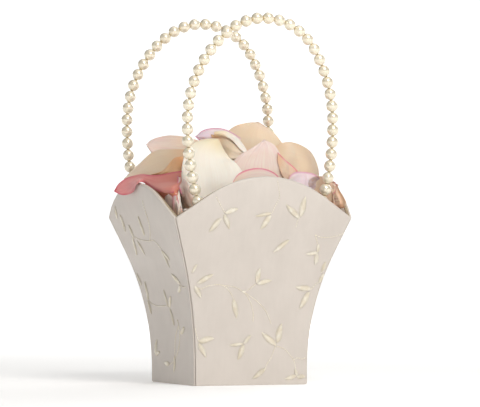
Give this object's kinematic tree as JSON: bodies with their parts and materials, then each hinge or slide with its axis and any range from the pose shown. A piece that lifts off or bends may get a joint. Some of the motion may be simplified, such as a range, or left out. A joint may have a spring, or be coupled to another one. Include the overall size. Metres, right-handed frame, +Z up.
{
  "type": "flower girl basket",
  "caption": "Flared square basket of padded, embroidered satin panels with arched rims, pearl bead handles at front and back, and a heap of loose rose petals.",
  "frame": {"origin": "middle of the underside of the base, on the surface that the basket stands on", "axes": "+Z up, +Y from the front handle to the back handle, +X to the right seen from the front"},
  "size_m": [0.1368, 0.1372, 0.2498],
  "materials": {
    "satin": "satin",
    "lining": "satin",
    "padding": "matte",
    "board": "matte",
    "thread": "satin",
    "pearl": "gloss",
    "wire": "satin",
    "petal_cream": "matte",
    "petal_peach": "matte",
    "petal_blush": "matte",
    "petal_coral": "matte",
    "petal_lilac": "matte"
  },
  "bodies": {
    "basket": {"front_satin_cover": "satin", "front_padding": "padding", "front_board": "board", "front_lining": "lining", "right_satin_cover": "satin", "right_padding": "padding", "right_board": "board", "right_lining": "lining", "back_satin_cover": "satin", "back_padding": "padding", "back_board": "board", "back_lining": "lining", "left_satin_cover": "satin", "left_padding": "padding", "left_board": "board", "left_lining": "lining", "base_satin": "satin", "base_card": "board", "floor_lining": "lining", "front_handle_tab_left": "lining", "front_handle_tab_right": "lining", "back_handle_tab_left": "lining", "back_handle_tab_right": "lining"},
    "front_handle": {"front_handle_wire": "wire", "front_handle_pearls": "pearl"},
    "back_handle": {"back_handle_wire": "wire", "back_handle_pearls": "pearl"},
    "petals": {"petal_coral_left": "petal_coral", "petal_peach_right": "petal_peach", "petal_pink_edged_front": "petal_blush", "petal_blush_back": "petal_blush", "petal_cream_front": "petal_cream", "petal_lilac_right": "petal_lilac", "petal_blush_back_left": "petal_blush", "petal_cream_back_right": "petal_cream", "petal_blush_right": "petal_blush", "petal_peach_left": "petal_peach", "petal_cream_back": "petal_cream", "petal_blush_front": "petal_blush", "petal_coral_right": "petal_coral", "petal_curl_middle": "petal_lilac", "petal_peach_top": "petal_peach", "petal_corner_left": "petal_cream", "petal_corner_right": "petal_coral", "petal_corner_back_left": "petal_peach", "petal_corner_back_right": "petal_cream", "petal_bed": "petal_cream"}
  },
  "joints": [
    {"name": "front_handle_tilt", "type": "hinge", "parent": "basket", "child": "front_handle", "pos_m": [0, -0.0573, 0.1175], "axis": [-1, 0, 0], "range_deg": [-6, 23]},
    {"name": "back_handle_tilt", "type": "hinge", "parent": "basket", "child": "back_handle", "pos_m": [0, 0.0573, 0.1175], "axis": [1, 0, 0], "range_deg": [-6, 23]},
    {"name": "petals_lift", "type": "slide", "parent": "basket", "child": "petals", "axis": [0, 0, 1], "range_m": [0, 0.17]}
  ]
}
